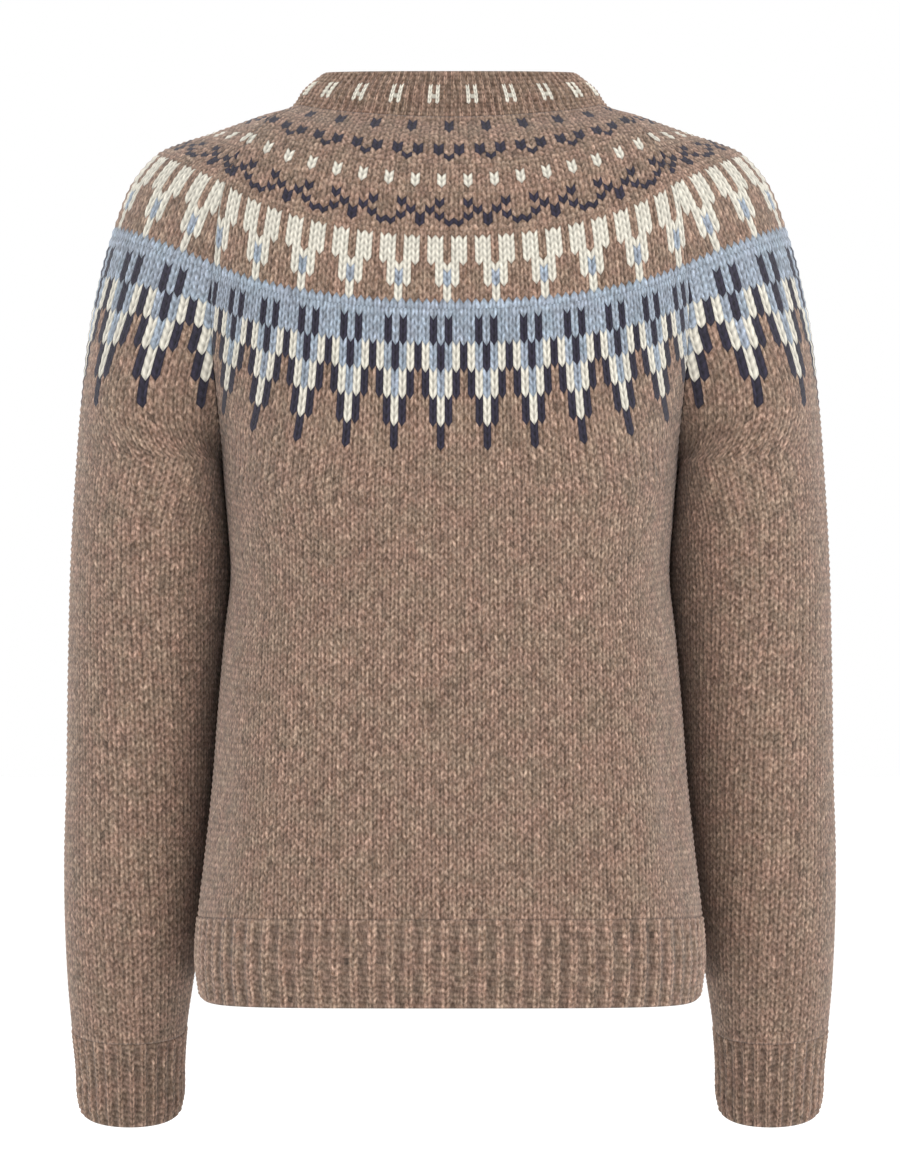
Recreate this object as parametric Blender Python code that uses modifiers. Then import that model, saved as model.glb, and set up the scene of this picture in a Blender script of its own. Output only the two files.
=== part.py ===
"""Knitted yoke cardigan, filled out as if worn, in metres with +Z up.

The front faces -Y and the wearer's left is +X. The origin is the middle of the neck seam, where the
wearer carries the garment. Every panel is a wall between knitted rows. A row is a level ring: row 0 is
the neck seam, row 48 ends the patterned yoke, row 55 meets the underarm. Tables are in millimetres.
"""
import math

import bmesh
import bpy
import numpy as np
from mathutils import Vector

MM = 0.001

# Wall, seams and ribs
WALL = 3.0
SEAM_GAP = 0.3
ROW_HEIGHT = 4.2            # one knitted row, near enough
ROW_GAP = 0.035             # half a seam gap, counted in rows
SLEEVE_CLEARANCE = 0.8      # between body and sleeve under the arm
RIB_HEIGHT = 1.1
BAND_RIB_HEIGHT = 0.77
HEM_RIB_PITCH = 13.0
CUFF_RIB_PITCH = 7.6
NECK_RIB_PITCH = 6.3
NECK_ROUND = 500.0

# Rows that end the pieces
ROW_NECK_TOP = -8
ROW_NECK_MIDDLE = -5
ROW_NECK = 0
ROW_UNDERARM = 55
ROW_HEM_RIB = 124
ROW_HEM_MIDDLE = 131
ROW_HEM = 139
ROW_CUFF_RIB = 147
ROW_CUFF_MIDDLE = 155
ROW_CUFF = 162
ROW_MITRE = 31              # down to here the raglan seam lies flat enough for mitred edges

# How finely each wall is divided, down and across
YOKE_STEPS = 9
ARMHOLE_ROWS = (45, 48, 50.5, 52.5, 54, 55)
BODY_STEPS = 9
ARM_STEPS = 10
BACK_STEPS = 18
FRONT_STEPS = 8
SLEEVE_STEPS = 16
SHARP_DEGREES = 50

# Front bands: ring distances from the centre front
BAND_SEAM = 17.0
BAND_EDGE = 12.5
BAND_STEP = 3.5
BAND_LIFT = 1.75
BAND_DROP = 2.5
BAND_STEPS = 9
BAND_ROWS = 15
SLIT_STEP = 4               # the step across the band that the buttonholes are cut in

# Buttons
BUTTON_COUNT = 7
BUTTON_RADIUS = 10.0
BUTTON_THICKNESS = 4.0
BUTTON_SHANK_RADIUS = 1.0
BUTTON_TOP_Z = -27.0
BUTTON_BOTTOM_Z = -562.0
BUTTONHOLE_LENGTH = 12.0

# Back half of the body. mid: centre back. edge: raglan seam, then side seam. turn: degrees by which
# the ring has turned from straight across when it meets the edge. full: how boxy the bend is.
BACK_COLUMNS = ("row", "mid_y", "mid_z", "edge_x", "edge_y", "edge_z", "turn", "full")
BACK = (
    (-8, 44, 24, 80, 6, 22, 66, 1.0),
    (-4, 49, 9.5, 91.5, 8, 10, 67, 1.0),
    (0, 52, -4.5, 99, 10, -2, 68, 1.0),
    (5, 71, -20.5, 113.5, 25, -9, 63, 1.0),
    (10, 84, -37.5, 125, 38, -17, 58, 1.0),
    (14, 92, -51.5, 134, 48, -25, 54, 1.0),
    (18, 99, -68, 142, 56, -37, 50, 1.0),
    (22, 104, -85, 148, 63, -52, 48, 1.0),
    (31, 111, -129.5, 155.5, 71, -104, 49, 1.0),
    (40, 113, -180.5, 156.5, 57, -152, 60, 1.05),
    (48, 112, -226, 153, 28, -198, 76, 1.18),
    (52, 111, -242, 151, 3, -222, 85, 1.28),
    (55, 110, -254, 150, -18, -238, 90, 1.34),
    (63, 107, -286, 145.5, -14, -272, 90, 1.34),
    (71, 104, -318.5, 142.5, -10, -306, 90, 1.34),
    (80, 103, -355, 148, -8, -345, 90, 1.34),
    (92, 105, -403, 153, -6, -396, 90, 1.34),
    (104, 108, -452, 157, -5, -448, 90, 1.34),
    (114, 110, -492.5, 161.5, -5, -490, 90, 1.34),
    (124, 111, -533, 166.5, -5, -533, 90, 1.34),
    (132, 112, -566, 168, -5, -560, 90, 1.34),
    (139, 110, -595, 165.5, -5, -580, 90, 1.34),
)

# Front half of the body, with the same columns
FRONT = (
    (-8, -71, -12, 79, -34, 14, 66, 1.0),
    (-4, -78.5, -25, 90.5, -36, 3, 67, 1.0),
    (0, -84, -38, 98, -36, -8, 68, 1.0),
    (5, -96, -55, 110, -50, -15, 63, 1.0),
    (10, -105, -73, 120, -62, -25, 58, 1.0),
    (14, -111, -89, 128, -70, -34, 54, 1.0),
    (18, -115, -106, 135, -77, -47, 50, 1.0),
    (22, -119, -124, 141, -83, -62, 48, 1.0),
    (31, -125, -165, 149, -92, -112, 49, 1.0),
    (40, -128, -207, 151, -86, -158, 58, 1.0),
    (48, -128, -246, 150, -66, -200, 74, 1.08),
    (52, -127, -259, 150, -42, -223, 84, 1.15),
    (55, -126, -270, 150, -18, -238, 90, 1.2),
    (63, -125, -299, 145.5, -14, -272, 90, 1.2),
    (71, -122, -328, 142.5, -10, -306, 90, 1.2),
    (80, -120, -362, 148, -8, -345, 90, 1.2),
    (92, -119, -408, 153, -6, -396, 90, 1.2),
    (104, -119, -454, 157, -5, -448, 90, 1.2),
    (114, -119, -493, 161.5, -5, -490, 90, 1.2),
    (124, -120, -531, 166.5, -5, -533, 90, 1.2),
    (132, -120, -560, 168, -5, -560, 90, 1.2),
    (139, -118, -583, 165.5, -5, -580, 90, 1.2),
)

# Sleeve. out: the line down its outer side. in: its line against the body, below the underarm.
# turn: as for the panels, where the sleeve leaves the seam. full: depth against a round ring.
# tilt: how much the back of the ring drops, because the forearm bends forward.
SLEEVE_COLUMNS = ("row", "out_x", "out_y", "out_z", "in_x", "in_y", "in_z", "turn", "full", "tilt")
SLEEVE = (
    (-8, 84, -14, 20, 0, 0, 0, 66, 1.0, 0),
    (-4, 96, -13, 11, 0, 0, 0, 67, 1.0, 0),
    (0, 104, -12, -1, 0, 0, 0, 68, 1.0, 0),
    (5, 125, -13, -6, 0, 0, 0, 63, 1.0, 0),
    (10, 146, -14, -13.5, 0, 0, 0, 58, 1.0, 0),
    (14, 162, -15, -19.5, 0, 0, 0, 53, 1.0, 0),
    (18, 178, -17, -25, 0, 0, 0, 49, 1.0, 0),
    (22, 193, -19, -32.5, 0, 0, 0, 46, 1.0, 0),
    (26, 208, -22, -50, 0, 0, 0, 44, 1.0, 0),
    (31, 220, -26, -78, 0, 0, 0, 38, 1.0, 0),
    (40, 236, -32, -138, 0, 0, 0, 10, 1.08, 0),
    (48, 243.5, -36, -196, 0, 0, 0, -36, 1.4, 0),
    (52, 245, -37, -213, 0, 0, 0, -66, 1.42, 0),
    (55, 246, -38, -226, 150, -18, -238, -90, 1.42, 0),
    (62, 248, -40, -255, 147, -27, -266, -90, 1.36, 0),
    (70, 250, -42, -289, 144.5, -36, -298, -90, 1.28, 0),
    (90, 252.5, -50, -374, 149, -49, -379, -90, 1.2, 0),
    (105, 253.5, -56, -437, 154, -55, -440, -90, 1.16, 0.03),
    (119, 255, -63, -495, 160, -62, -495, -90, 1.13, 0.1),
    (132, 254, -72, -547, 165, -71, -547, -90, 1.12, 0.2),
    (140, 252, -79, -580, 170.5, -79, -580, -90, 1.1, 0.27),
    (147, 249.5, -87, -607, 174.5, -87, -607, -90, 1.08, 0.33),
    (155, 246.7, -94, -634, 176.5, -94, -634, -90, 1.07, 0.4),
    (160, 246, -98, -652, 177, -98, -652, -90, 1.06, 0.45),
    (162, 244.5, -99, -658, 178.5, -99, -658, -90, 1.04, 0.45),
)

# Large soft folds. across: place on the piece, from -1 to 1. depth: inwards where it is negative.
# Columns: piece, across, row_from, row_to, width, depth
FOLDS = (
    ("back", -0.73, 82, 128, 0.09, -4.0),
    ("back", 0.74, 88, 130, 0.09, -2.5),
    ("back", -0.55, 92, 134, 0.08, 2.0),
    ("back", 0.30, 66, 112, 0.16, -1.5),
    ("front", 0.72, 80, 126, 0.09, -3.0),
    ("front", 0.45, 60, 100, 0.14, -2.0),
)

# Colours, as linear values
BROWN = (0.27, 0.19, 0.14, 1.0)
HORN = (0.12, 0.075, 0.045, 1.0)


def row_of(table, columns, row):
    """Columns of a table at any row, on a smooth line through the rows on its side of the underarm."""
    lines = [line for line in table
             if line[0] == ROW_UNDERARM or (line[0] < ROW_UNDERARM) == (row < ROW_UNDERARM)]
    rows = np.array([line[0] for line in lines], float)
    row = float(np.clip(row, rows[0], rows[-1]))
    last = int(np.clip(np.searchsorted(rows, row), 1, len(rows) - 1))
    step = rows[last] - rows[last - 1]
    t = (row - rows[last - 1]) / step
    here = {}
    for column, name in enumerate(columns):
        values = np.array([line[column] for line in lines], float)
        slopes = np.gradient(values, rows)
        start, end = values[last - 1], values[last]
        here[name] = (start * (1 + 2 * t) * (1 - t) ** 2 + slopes[last - 1] * step * t * (1 - t) ** 2
                      + end * t * t * (3 - 2 * t) + slopes[last] * step * t * t * (t - 1))
    return here


def bend(start, start_turn, end, end_turn, full, side, fractions):
    """Points of one bend of a ring, from start to end, at even fractions of its length.

    Turns are in degrees from +X. side is 1 where the bend turns towards -Y, -1 towards +Y.
    """
    start, end = np.array(start), np.array(end)
    turns = np.radians([start_turn, end_turn])
    pull = full * np.linalg.norm(end - start) / math.cos((turns[1] - turns[0]) / 4) ** 2
    leave = pull * np.array((math.cos(turns[0]), -side * math.sin(turns[0])))
    arrive = pull * np.array((math.cos(turns[1]), -side * math.sin(turns[1])))
    t = np.linspace(0, 1, 49)[:, None]
    path = (start * (1 + 2 * t) * (1 - t) ** 2 + leave * t * (1 - t) ** 2
            + end * t * t * (3 - 2 * t) + arrive * t * t * (t - 1))
    lengths = np.concatenate([[0], np.cumsum(np.linalg.norm(np.diff(path, axis=0), axis=1))])
    at = np.asarray(fractions) * lengths[-1]
    return np.stack([np.interp(at, lengths, path[:, axis]) for axis in (0, 1)], axis=1), lengths[-1]


def body_half(table, row, side, fractions):
    """Points from the centre (0) to the seam (1) of a body panel's +X half, and the length."""
    at = row_of(table, BACK_COLUMNS, row)
    edge = (at["edge_x"], at["edge_y"])
    flat, length = bend((0, at["mid_y"]), 0, edge, at["turn"], at["full"], side, fractions)
    rise = np.abs(fractions) ** 2.5
    z = at["mid_z"] + (at["edge_z"] - at["mid_z"]) * rise
    return np.column_stack([flat, z]), length


def sleeve_half(table, row, side, fractions):
    """Points from the seam (0) to the outer line (1) of a left sleeve's back or front half."""
    at = row_of(SLEEVE, SLEEVE_COLUMNS, row)
    if row < ROW_UNDERARM:
        seam = row_of(table, BACK_COLUMNS, row)
        share = max(row, 0) / ROW_UNDERARM
        start = (seam["edge_x"] + SEAM_GAP / 2 + (SLEEVE_CLEARANCE - SEAM_GAP) * share ** 3, seam["edge_y"])
        start_z = seam["edge_z"]
    else:
        start = (at["in_x"] + SLEEVE_CLEARANCE, at["in_y"])
        start_z = at["in_z"]
    flat, length = bend(start, at["turn"], (at["out_x"], at["out_y"]), 90, at["full"], side, fractions)
    rise = np.sin(np.asarray(fractions) * math.pi / 2)
    z = start_z + (at["out_z"] - start_z) * rise - at["tilt"] * (flat[:, 1] - at["out_y"])
    return np.column_stack([flat, z]), length


def mirrored(points):
    return points * np.array((-1, 1, 1))


def outward(points):
    """Unit normals of a grid of points whose rows run down and whose columns run with the ring."""
    down = np.gradient(points, axis=0, edge_order=min(2, len(points) - 1))
    across = np.gradient(points, axis=1, edge_order=2)
    normal = np.cross(across, down)
    return normal / np.linalg.norm(normal, axis=2, keepdims=True)


def folded(piece, points, across, rows):
    """Points moved in or out by the large folds that cross the piece."""
    depth = np.zeros(points.shape[:2])
    for name, place, row_from, row_to, width, size in FOLDS:
        if name == piece:
            along = np.clip((np.asarray(rows) - row_from) / (row_to - row_from), 0, 1)
            side = np.exp(-((across - place) / width) ** 2)
            depth += size * np.sin(along * math.pi)[:, None] ** 2 * side
    return points + outward(points) * depth[:, :, None]


def back_grid(rows, columns):
    """Rows of points from the right seam to the left seam of the back."""
    grid, across = [], []
    for row in rows:
        length = body_half(BACK, row, 1, np.array((0.0, 1.0)))[1]
        places = np.linspace(-1, 1, columns + 1) * (1 - SEAM_GAP / 2 / length)
        points = body_half(BACK, row, 1, np.abs(places))[0]
        points[:, 0] *= np.sign(places)
        grid.append(points)
        across.append(places)
    return folded("back", np.array(grid), np.array(across), rows)


def front_grid(rows, columns, from_mm, to_mm=None):
    """Rows of points over the left half of the front, between two ring distances from its centre.

    Without a second distance the points run to the seam. A negative distance lies past the centre.
    """
    grid, across = [], []
    for row in rows:
        length = body_half(FRONT, row, -1, np.array((0.0, 1.0)))[1]
        end = length - SEAM_GAP / 2 if to_mm is None else to_mm
        places = np.linspace(end, from_mm, columns + 1) / length
        points = body_half(FRONT, row, -1, np.abs(places))[0]
        points[:, 0] *= np.sign(places)
        grid.append(points)
        across.append(places)
    return folded("front", np.array(grid), np.array(across), rows)


def sleeve_grid(rows, columns):
    """Rows of points round the left sleeve, from its back seam over the outer line to its front seam."""
    fractions = np.linspace(0, 1, columns // 2 + 1)
    grid = []
    for row in rows:
        behind = sleeve_half(BACK, row, 1, fractions)[0]
        before = sleeve_half(FRONT, row, -1, fractions)[0]
        grid.append(np.concatenate([behind, before[::-1][1:]]))
    return np.array(grid)


def neck_grid(rows, columns):
    """Rows of points round the neckband, from the right front band over the back to the left one."""
    grid = []
    fine = np.linspace(0, 1, 41)
    for row in rows:
        back = body_half(BACK, row, 1, fine)[0]
        behind = sleeve_half(BACK, row, 1, fine)[0]
        before = sleeve_half(FRONT, row, -1, fine)[0][::-1]
        front = body_half(FRONT, row, -1, fine)[0][::-1]
        half = np.concatenate([back, behind, before, front])
        steps = np.linalg.norm(np.diff(half, axis=0), axis=1)
        length = np.concatenate([[0], np.cumsum(steps)])
        end = length[-1] - BAND_SEAM - SEAM_GAP
        places = np.linspace(-end, end, columns + 1)
        points = np.stack([np.interp(np.abs(places), length, half[:, axis]) for axis in range(3)], axis=1)
        points[:, 0] *= np.sign(places)
        grid.append(points)
    return np.array(grid)


def ribs(rows, columns, height, end_rows=0):
    """Heights of ridges that run down a grid: every second column stands up."""
    heights = np.zeros((rows, columns + 1))
    heights[:, 1::2] = height
    if end_rows:
        heights[-end_rows:] *= 0.5
    return heights


def material(name, colour, roughness):
    made = bpy.data.materials.new(name)
    made.use_nodes = True
    shader = made.node_tree.nodes["Principled BSDF"]
    shader.inputs["Base Color"].default_value = colour
    shader.inputs["Roughness"].default_value = roughness
    shader.inputs["Metallic"].default_value = 0.0
    return made


def wall(name, points, relief=None, holes=(), closed=False, normals=None):
    """One cloth piece: a grid laid on the points, given its thickness inwards, its ribs raised outside.

    holes are pairs of a row and a column whose faces are left out. closed joins the grid's two edges.
    normals are the directions the thickness is laid in, where they differ from the grid's own.
    """
    row_count, column_count = points.shape[:2]
    normals = outward(points) if normals is None else normals
    if closed:
        shut = np.all(np.abs(points[:, 0] - points[:, -1]) < 0.01, axis=1)
        joint = normals[shut, 0] + normals[shut, -1]
        normals[shut, 0] = normals[shut, -1] = joint / np.linalg.norm(joint, axis=1, keepdims=True)
    shape = bmesh.new()
    bmesh.ops.create_grid(shape, x_segments=column_count - 1, y_segments=row_count - 1, size=1)
    outer = shape.verts.layers.float_vector.new("outer")
    inner = shape.verts.layers.float_vector.new("inner")
    for index, vertex in enumerate(shape.verts):
        row, column = divmod(index, column_count)
        height = 0.0 if relief is None else relief[row, column]
        vertex.co = Vector(points[row, column]) * MM
        vertex[outer] = Vector(points[row, column] + normals[row, column] * height) * MM
        vertex[inner] = Vector(points[row, column] - normals[row, column] * WALL) * MM
    shape.faces.ensure_lookup_table()
    cut = [shape.faces[row * (column_count - 1) + column] for row, column in holes]
    bmesh.ops.delete(shape, geom=cut, context="FACES")
    if closed:
        bmesh.ops.remove_doubles(shape, verts=shape.verts[:], dist=0.00005)
    shape.normal_update()
    outside = set(shape.verts)
    bmesh.ops.solidify(shape, geom=shape.faces[:], thickness=WALL * MM)
    for vertex in shape.verts:
        vertex.co = vertex[outer] if vertex in outside else vertex[inner]
    mesh = bpy.data.meshes.new(name)
    shape.to_mesh(mesh)
    shape.free()
    for layer in ("outer", "inner"):
        mesh.attributes.remove(mesh.attributes[layer])
    mesh.shade_smooth()
    mesh.set_sharp_from_angle(angle=math.radians(SHARP_DEGREES))
    return add(name, mesh, material(name + "_wool", BROWN, 0.95))


def add(name, mesh, finish):
    piece = bpy.data.objects.new(name, mesh)
    mesh.materials.append(finish)
    collection.objects.link(piece)
    piece.parent = hold
    return piece


def rows_between(start, end, count):
    return np.linspace(start, end, count + 1)


def mitre(one, other, rows):
    """Turns the edges of two walls to their mean direction down the raglan seam's smooth stretch."""
    smooth = int(np.sum(rows < ROW_MITRE))
    mean = one[:smooth] + other[:smooth]
    mean /= np.linalg.norm(mean, axis=1, keepdims=True)
    one[:smooth] = other[:smooth] = mean


def panels():
    """The back, the fronts and the sleeves, which share the rows of the yoke."""
    yoke = rows_between(ROW_NECK + ROW_GAP, ARMHOLE_ROWS[0], YOKE_STEPS)
    yoke = np.concatenate([yoke, ARMHOLE_ROWS[1:]])
    body = rows_between(ROW_UNDERARM, ROW_HEM_RIB - ROW_GAP, BODY_STEPS)[1:]
    arm = rows_between(ROW_UNDERARM, ROW_CUFF_RIB - ROW_GAP, ARM_STEPS)[1:]
    back = back_grid(np.concatenate([yoke, body]), BACK_STEPS)
    front = front_grid(np.concatenate([yoke, body]), FRONT_STEPS, BAND_SEAM + SEAM_GAP)
    sleeve = sleeve_grid(np.concatenate([yoke, arm]), SLEEVE_STEPS)
    back_out, front_out, sleeve_out = outward(back), outward(front), outward(sleeve)
    mitre(back_out[:, -1], sleeve_out[:, 0], yoke)
    mitre(front_out[:, 0], sleeve_out[:, -1], yoke)
    back_out[:len(yoke), 0] = mirrored(back_out[:len(yoke), -1])
    wall("back", back, normals=back_out)
    for name, points, out in (("front", front, front_out), ("sleeve", sleeve, sleeve_out)):
        closed = name == "sleeve"
        wall(name + "_left", points, normals=out, closed=closed)
        wall(name + "_right", mirrored(points)[:, ::-1], normals=mirrored(out)[:, ::-1], closed=closed)


def hem_pieces():
    rows = np.array((ROW_HEM_RIB + ROW_GAP, ROW_HEM_MIDDLE, ROW_HEM))
    half = body_half(BACK, ROW_HEM_RIB, 1, np.array((0.0, 1.0)))[1]
    back_columns = 4 * round(half / HEM_RIB_PITCH)
    wall("hem_back", back_grid(rows, back_columns), ribs(len(rows), back_columns, RIB_HEIGHT, 1))
    front_half = body_half(FRONT, ROW_HEM_RIB, -1, np.array((0.0, 1.0)))[1] - BAND_SEAM
    columns = 2 * round(front_half / HEM_RIB_PITCH)
    left = front_grid(rows, columns, BAND_SEAM + SEAM_GAP)
    heights = ribs(len(rows), columns, RIB_HEIGHT, 1)
    wall("hem_left", left, heights)
    wall("hem_right", mirrored(left)[:, ::-1], heights)


def cuffs():
    rows = np.array((ROW_CUFF_RIB + ROW_GAP, ROW_CUFF_MIDDLE, ROW_CUFF))
    ring = sum(sleeve_half(BACK, ROW_CUFF_MIDDLE, side, np.array((0.0, 1.0)))[1] for side in (1, -1))
    columns = 4 * round(ring / CUFF_RIB_PITCH / 2)
    heights = ribs(len(rows), columns, RIB_HEIGHT, 1)
    left = sleeve_grid(rows, columns)
    wall("cuff_left", left, heights, closed=True)
    wall("cuff_right", mirrored(left)[:, ::-1], heights, closed=True)


def neckband():
    rows = np.array((ROW_NECK_TOP, ROW_NECK_MIDDLE, ROW_NECK - ROW_GAP))
    columns = 2 * round(NECK_ROUND / NECK_RIB_PITCH)
    heights = ribs(len(rows), columns, RIB_HEIGHT)
    heights[0] *= 0.5
    wall("neckband", neck_grid(rows, columns), heights)


def button_rows():
    """Rows at which the buttons sit, evenly spaced down the centre front."""
    rows = np.linspace(ROW_NECK_TOP, ROW_HEM, 600)
    heights = np.array([row_of(FRONT, BACK_COLUMNS, row)["mid_z"] for row in rows])
    places = np.linspace(BUTTON_TOP_Z, BUTTON_BOTTOM_Z, BUTTON_COUNT)
    return np.interp(-places, -heights, rows)


def band_grid(rows, outside, columns):
    """Points and directions of the left band, stepped off the panel's surface past its seam."""
    points = front_grid(rows, columns, -BAND_EDGE, BAND_SEAM)
    places = np.linspace(BAND_SEAM, -BAND_EDGE, columns + 1)
    share = np.clip((BAND_SEAM - places) / BAND_STEP, 0, 1)
    offset = share * share * (3 - 2 * share) * (BAND_LIFT if outside else -BAND_DROP)
    normals = outward(points)
    return points + normals * offset[None, :, None], normals


def front_bands():
    """The two ribbed bands. The buttonhole band is the left one mirrored, lifted and cut."""
    columns = BAND_STEPS
    marks = button_rows()
    hole = BUTTONHOLE_LENGTH / 2 / ROW_HEIGHT
    plain = [row for row in rows_between(ROW_NECK_TOP, ROW_HEM, BAND_ROWS)
             if min(abs(row - mark) for mark in marks) > 2 * hole]
    rows = np.array(sorted(plain + [mark - hole for mark in marks] + [mark + hole for mark in marks]))
    heights = ribs(len(rows), columns, BAND_RIB_HEIGHT)
    heights[:, :2] = 0
    under, under_out = band_grid(rows, False, columns)
    wall("button_band", under, heights, normals=under_out)
    over, over_out = (mirrored(grid)[:, ::-1] for grid in band_grid(rows, True, columns))
    cut = [(int(np.argmin(abs(rows - (mark - hole)))), columns - 1 - SLIT_STEP) for mark in marks]
    wall("buttonhole_band", over, heights[:, ::-1], holes=cut, normals=over_out)


def button_mesh():
    """A round button with a raised rim and a shank below, turned about Z. Its underside is z = 0."""
    radius, thick = BUTTON_RADIUS * MM, BUTTON_THICKNESS * MM
    shank_end = -(BAND_LIFT + BAND_DROP) * MM
    profile = ((0, 0.6 * thick), (0.7 * radius, 0.62 * thick), (0.85 * radius, thick),
               (radius, 0.5 * thick), (0.9 * radius, 0),
               (BUTTON_SHANK_RADIUS * MM, 0), (BUTTON_SHANK_RADIUS * MM, shank_end), (0, shank_end))
    mesh = bpy.data.meshes.new("button")
    mesh.from_pydata([(x, 0, z) for x, z in profile], [(i, i + 1) for i in range(len(profile) - 1)], [])
    return mesh


def buttons():
    finish = material("button_horn", HORN, 0.35)
    slit = BAND_SEAM - (SLIT_STEP + 0.5) * (BAND_SEAM + BAND_EDGE) / BAND_STEPS
    for number, row in enumerate(button_rows(), start=1):
        rows = np.array((row - 0.5, row, row + 0.5))
        patch = mirrored(front_grid(rows, 2, slit - 2, slit + 2))[:, ::-1]
        normal = Vector(outward(patch)[1, 1])
        place = Vector(patch[1, 1]) + normal * (BAND_LIFT + BAND_RIB_HEIGHT + SEAM_GAP)
        piece = add("button_%d" % number, button_mesh(), finish)
        piece.location = place * MM
        piece.rotation_mode = "QUATERNION"
        piece.rotation_quaternion = normal.to_track_quat("Z", "Y")
        turned = piece.modifiers.new("turned", "SCREW")
        turned.axis = "Z"
        turned.steps = turned.render_steps = 16
        turned.use_merge_vertices = True
        turned.merge_threshold = 0.00001
        turned.use_normal_calculate = False


for old in list(bpy.data.objects):
    bpy.data.objects.remove(old)
collection = bpy.data.collections.new("cardigan")
bpy.context.scene.collection.children.link(collection)
hold = bpy.data.objects.new("held_at_neck", None)
collection.objects.link(hold)

panels()
hem_pieces()
cuffs()
neckband()
front_bands()
buttons()
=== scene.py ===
"""Knitted yoke cardigan, filled out as if worn. Front faces -Y, the wearer's left is +X, +Z is up.

Tables are in millimetres and in knitted rows: row 0 is the neck seam, row 55 meets the underarm.
"""
import math

import bmesh
import bpy
import numpy as np
from mathutils import Matrix, Vector


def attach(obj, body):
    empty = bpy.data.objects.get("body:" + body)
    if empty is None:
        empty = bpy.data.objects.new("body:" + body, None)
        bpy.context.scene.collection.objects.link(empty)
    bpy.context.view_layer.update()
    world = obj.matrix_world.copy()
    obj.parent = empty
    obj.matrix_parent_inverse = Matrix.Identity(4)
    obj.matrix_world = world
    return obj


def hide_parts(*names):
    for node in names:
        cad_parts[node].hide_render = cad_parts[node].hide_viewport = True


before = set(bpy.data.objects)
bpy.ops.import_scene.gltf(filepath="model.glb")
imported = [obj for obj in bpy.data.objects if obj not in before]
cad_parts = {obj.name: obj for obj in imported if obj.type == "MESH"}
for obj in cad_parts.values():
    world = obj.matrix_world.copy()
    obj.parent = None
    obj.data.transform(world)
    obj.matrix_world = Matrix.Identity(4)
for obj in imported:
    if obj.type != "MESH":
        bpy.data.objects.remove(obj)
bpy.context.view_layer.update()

# ---------------------------------------------------------------------------- Back
# One panel of heather wool, knitted in stocking stitch, with the colour work of the round yoke in its
# upper 48 rows. It ends at the raglan seams, at the side seams and above the hem rib.

MM = 0.001
WALL = 3.0                  # thickness of a panel
SEAM_GAP = 0.06             # left between two panels at a seam
TOUCH = 0.004               # rows left between pieces that are knitted on to each other
UNDERARM = 55
HEM_RIB = 124               # the row where the hem rib begins
HEM = 139
# Half a ring of the back at its measured rows: its middle, its edge at the seam, the way it meets the
# seam in degrees (0 runs sideways, 90 straight from back to front), and how full its bend is
BACK_COLUMNS = ("row", "mid_y", "mid_z", "edge_x", "edge_y", "edge_z", "turn", "full")
BACK = (
    (-8, 44, 22.8, 80, 6, 23.6, 66, 1.0),
    (-4, 49, 7.5, 91.5, 8, 13, 67, 1.0),
    (0, 52, -7.2, 99, 10, 2, 68, 1.0),
    (5, 71, -23, 113.5, 25, -4, 63, 1.0),
    (10, 84, -39.6, 125, 38, -12.5, 58, 1.0),
    (14, 92, -53.8, 134, 48, -23.5, 54, 1.0),
    (18, 99, -72, 142, 56, -38.5, 50, 1.0),
    (22, 104, -87.6, 148, 63, -51.5, 48, 1.0),
    (31, 111, -129.5, 155.5, 71, -104, 49, 1.0),
    (40, 113, -180.5, 156.5, 57, -152, 60, 1.05),
    (48, 112, -226, 153, 28, -198, 76, 1.18),
    (52, 111, -242, 151, 3, -222, 85, 1.28),
    (55, 110, -254, 150, -18, -238, 90, 1.34),
    (63, 107, -286, 146.8, -14, -272, 90, 1.34),
    (71, 104, -318.5, 144.6, -10, -306, 90, 1.34),
    (80, 103, -355, 148.5, -8, -345, 90, 1.34),
    (92, 105, -403, 153, -6, -396, 90, 1.34),
    (104, 108, -452, 157, -5, -448, 90, 1.34),
    (114, 110, -492.5, 161.5, -5, -490, 90, 1.34),
    (124, 111, -533, 166.5, -5, -533, 90, 1.34),
    (132, 112, -566, 168, -5, -560, 90, 1.34),
    (139, 110, -591, 165.5, -5, -580, 90, 1.34),
)
# Soft folds of the body: piece, place across, first row, last row, width across, and how far the fold
# stands out, which is below zero for a hollow
FOLDS = (
    ("back", -0.73, 82, 128, 0.09, -4.0),
    ("back", 0.74, 88, 130, 0.09, -2.5),
    ("back", -0.55, 92, 134, 0.08, 2.0),
    ("back", 0.30, 66, 112, 0.16, -1.5),
    ("front", -0.72, 80, 126, 0.09, -3.0),
    ("front", -0.45, 60, 100, 0.14, -2.0),
)
# How long a ring stays level before it turns to its edge's height: rows, and a power at each
LEVEL = ((8, 22, UNDERARM, HEM), (1.8, 2.2, 2.5, 7))
RING_STEP = 0.5             # rows from one ring of the cloth to the next
RING_PARTS = 120            # steps along a ring
BEND_PARTS = 96             # steps in which a bend is measured


def row_of(table, columns, row):
    """Columns of a table at any row, on a smooth line through the rows on its side of the underarm."""
    lines = [line for line in table
             if line[0] == UNDERARM or (line[0] < UNDERARM) == (row < UNDERARM)]
    rows = np.array([line[0] for line in lines], float)
    row = float(np.clip(row, rows[0], rows[-1]))
    last = int(np.clip(np.searchsorted(rows, row), 1, len(rows) - 1))
    step = rows[last] - rows[last - 1]
    t = (row - rows[last - 1]) / step
    here = {}
    for column, name in enumerate(columns):
        values = np.array([line[column] for line in lines], float)
        slopes = np.gradient(values, rows)
        here[name] = (values[last - 1] * (1 + 2 * t) * (1 - t) ** 2
                      + slopes[last - 1] * step * t * (1 - t) ** 2
                      + values[last] * t * t * (3 - 2 * t) + slopes[last] * step * t * t * (t - 1))
    return here


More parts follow.
